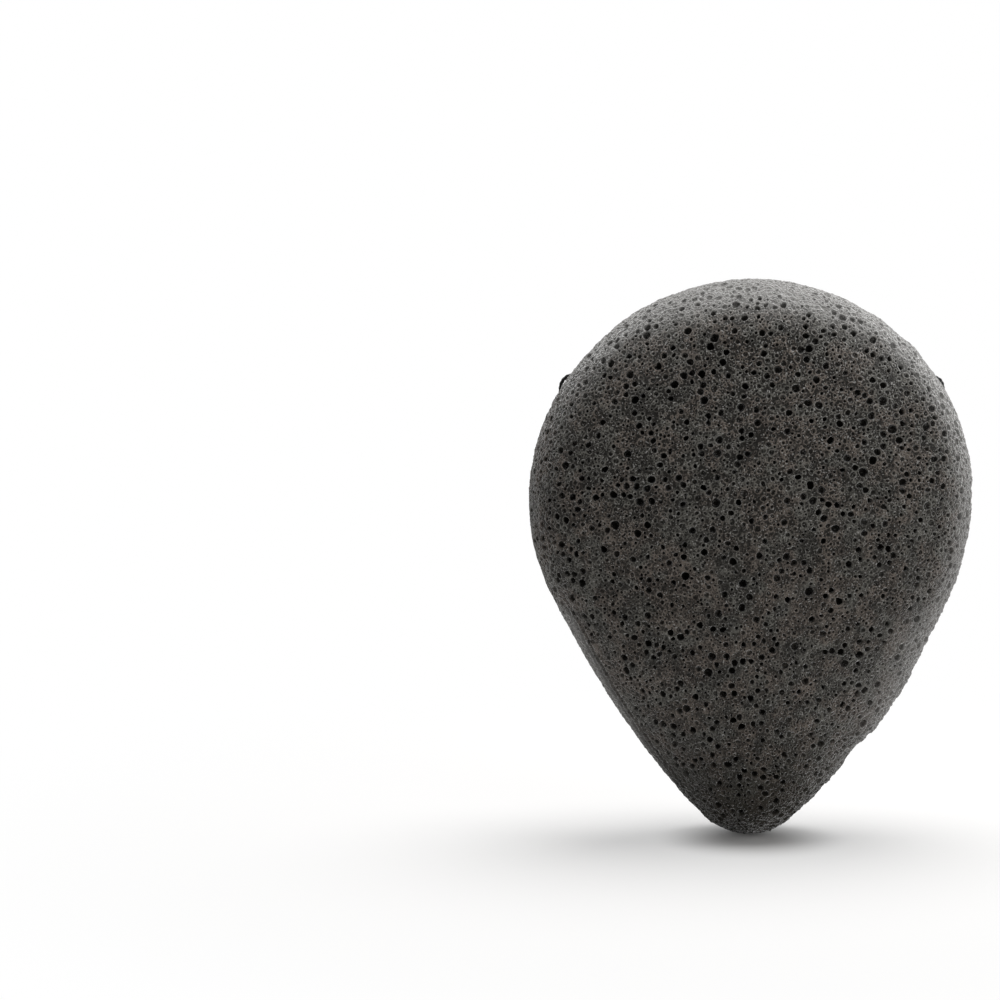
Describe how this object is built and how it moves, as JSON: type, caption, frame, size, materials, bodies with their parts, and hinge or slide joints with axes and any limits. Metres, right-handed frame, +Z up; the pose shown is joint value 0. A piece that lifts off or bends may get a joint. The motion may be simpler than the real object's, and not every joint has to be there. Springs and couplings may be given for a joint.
{
  "type": "konjac sponge",
  "caption": "Drop-shaped charcoal konjac foam face sponge that stands on its tip, with a thin black cord threaded from side to side near the top and hanging behind it in a knotted loop.",
  "frame": {"origin": "middle of the flat foot under the tip, on the surface that the sponge stands on, below the middle of its width and thickness", "axes": "+Z up from the tip to the round top, +X to the right as seen from the front, front towards -Y, cord loop behind towards +Y"},
  "size_m": [0.091, 0.0398, 0.114],
  "materials": {
    "charcoal_foam": "matt open-cell plant-fibre foam, charcoal grey with black pores",
    "black_cord": "thin twisted black cotton cord"
  },
  "bodies": {
    "sponge": {"sponge_body": "charcoal_foam"},
    "hanging_cord": {"threaded_cord": "black_cord", "left_strand": "black_cord", "right_strand": "black_cord", "loop_knot": "black_cord", "left_tail": "black_cord", "right_tail": "black_cord"}
  },
  "joints": [
    {"name": "loop_swing", "type": "hinge", "parent": "sponge", "child": "hanging_cord", "pos_m": [0, 0.0075, 0.0936], "axis": [1, 0, 0], "range_deg": [0, 180]}
  ]
}
